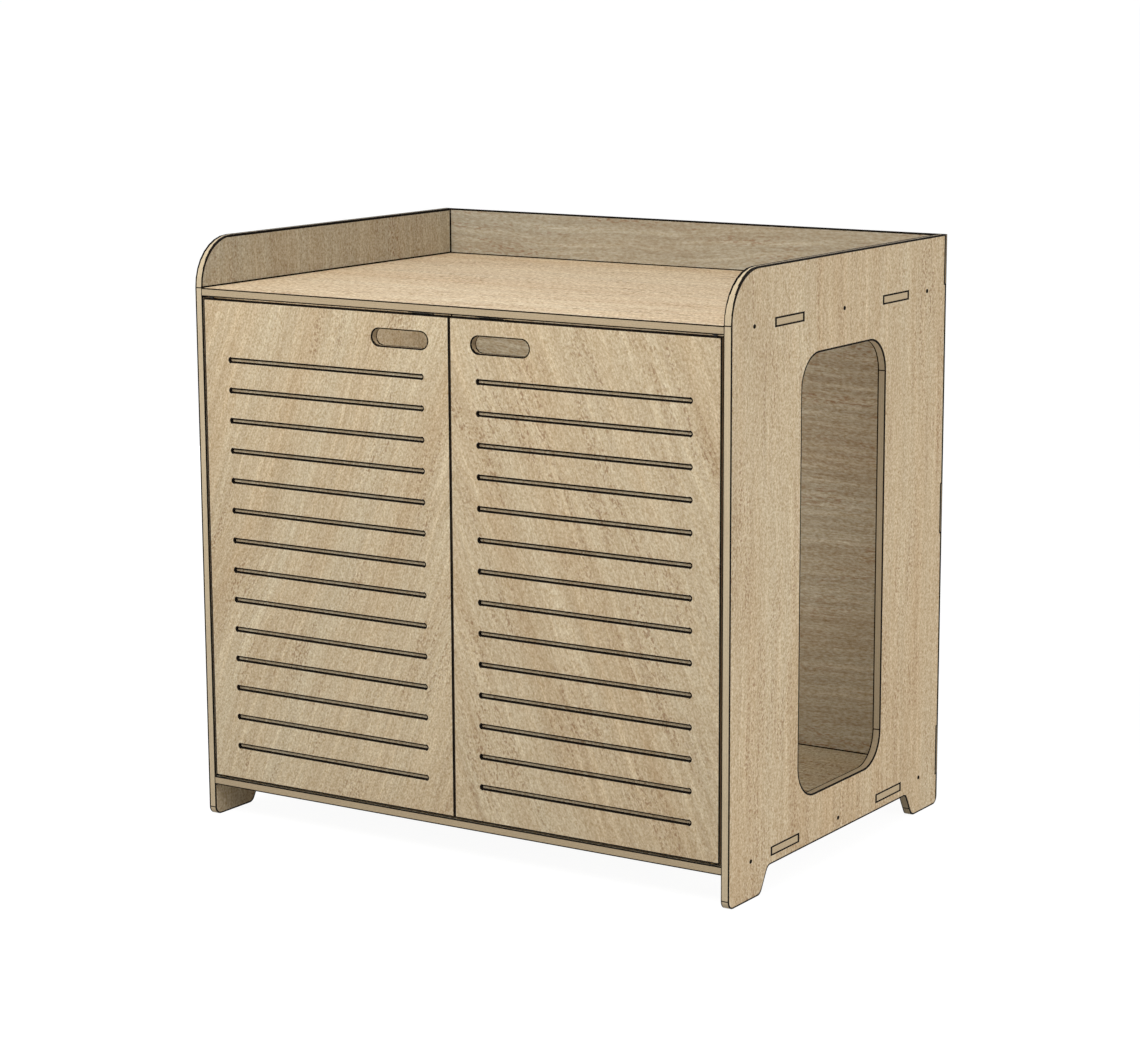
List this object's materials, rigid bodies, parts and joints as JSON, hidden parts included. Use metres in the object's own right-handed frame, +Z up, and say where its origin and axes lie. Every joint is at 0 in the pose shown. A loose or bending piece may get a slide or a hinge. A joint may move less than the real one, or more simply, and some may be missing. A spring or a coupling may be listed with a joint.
{
  "type": "litter box cabinet",
  "caption": "Plywood cabinet that hides a litter box: a tall cat entry in one side, inset grooved doors with hand holes, feet cut from the side panels and a raised lip round the top.",
  "frame": {"origin": "on the ground, under the middle of the cabinet", "axes": "+X to the side with the cat entry, +Y from the doors to the back, +Z up"},
  "size_m": [0.9524, 0.6668, 0.9144],
  "materials": {
    "plywood": "clear satin oil on plain-sliced hardwood plywood",
    "pin_steel": "dark waxed bright steel",
    "pivot_steel": "ground",
    "bush_nylon": "natural nylon",
    "washer_brass": "plain",
    "catch_plastic": "moulded",
    "magnet_ferrite": "bare ferrite",
    "screw_steel": "zinc plated"
  },
  "bodies": {
    "case": {"left_side_panel": "plywood", "right_side_panel": "plywood", "top_panel": "plywood", "bottom_panel": "plywood", "back_panel": "plywood", "left_side_pin_top_front": "pin_steel", "right_side_pin_top_front": "pin_steel", "left_side_pin_top_middle": "pin_steel", "right_side_pin_top_middle": "pin_steel", "left_side_pin_top_rear": "pin_steel", "right_side_pin_top_rear": "pin_steel", "left_side_pin_bottom_front": "pin_steel", "right_side_pin_bottom_front": "pin_steel", "left_side_pin_bottom_middle": "pin_steel", "right_side_pin_bottom_middle": "pin_steel", "left_side_pin_bottom_rear": "pin_steel", "right_side_pin_bottom_rear": "pin_steel", "back_pin_top_left": "pin_steel", "back_pin_top_middle": "pin_steel", "back_pin_top_right": "pin_steel", "back_pin_bottom_left": "pin_steel", "back_pin_bottom_middle": "pin_steel", "back_pin_bottom_right": "pin_steel", "back_pin_left_tab_low": "pin_steel", "back_pin_left_tab_middle": "pin_steel", "back_pin_left_tab_high": "pin_steel", "back_pin_right_tab_low": "pin_steel", "back_pin_right_tab_middle": "pin_steel", "back_pin_right_tab_high": "pin_steel", "left_pivot_bush_bottom": "bush_nylon", "left_pivot_bush_top": "bush_nylon", "right_pivot_bush_bottom": "bush_nylon", "right_pivot_bush_top": "bush_nylon", "left_catch_body": "catch_plastic", "right_catch_body": "catch_plastic", "left_catch_magnet": "magnet_ferrite", "right_catch_magnet": "magnet_ferrite", "left_catch_screw_inner": "screw_steel", "left_catch_screw_outer": "screw_steel", "right_catch_screw_inner": "screw_steel", "right_catch_screw_outer": "screw_steel"},
    "left_door": {"left_door_panel": "plywood", "left_pivot_pin_bottom": "pivot_steel", "left_pivot_pin_top": "pivot_steel", "left_thrust_washer": "washer_brass", "left_strike_plate": "screw_steel", "left_strike_screw_inner": "screw_steel", "left_strike_screw_outer": "screw_steel"},
    "right_door": {"right_door_panel": "plywood", "right_pivot_pin_bottom": "pivot_steel", "right_pivot_pin_top": "pivot_steel", "right_thrust_washer": "washer_brass", "right_strike_plate": "screw_steel", "right_strike_screw_inner": "screw_steel", "right_strike_screw_outer": "screw_steel"}
  },
  "joints": [
    {"name": "left_door_hinge", "type": "hinge", "parent": "case", "child": "left_door", "pos_m": [-0.44767, -0.32703, 0.4445], "axis": [0, 0, -1], "range_deg": [0, 130]},
    {"name": "right_door_hinge", "type": "hinge", "parent": "case", "child": "right_door", "pos_m": [0.44767, -0.32703, 0.4445], "axis": [0, 0, 1], "range_deg": [0, 130]}
  ]
}
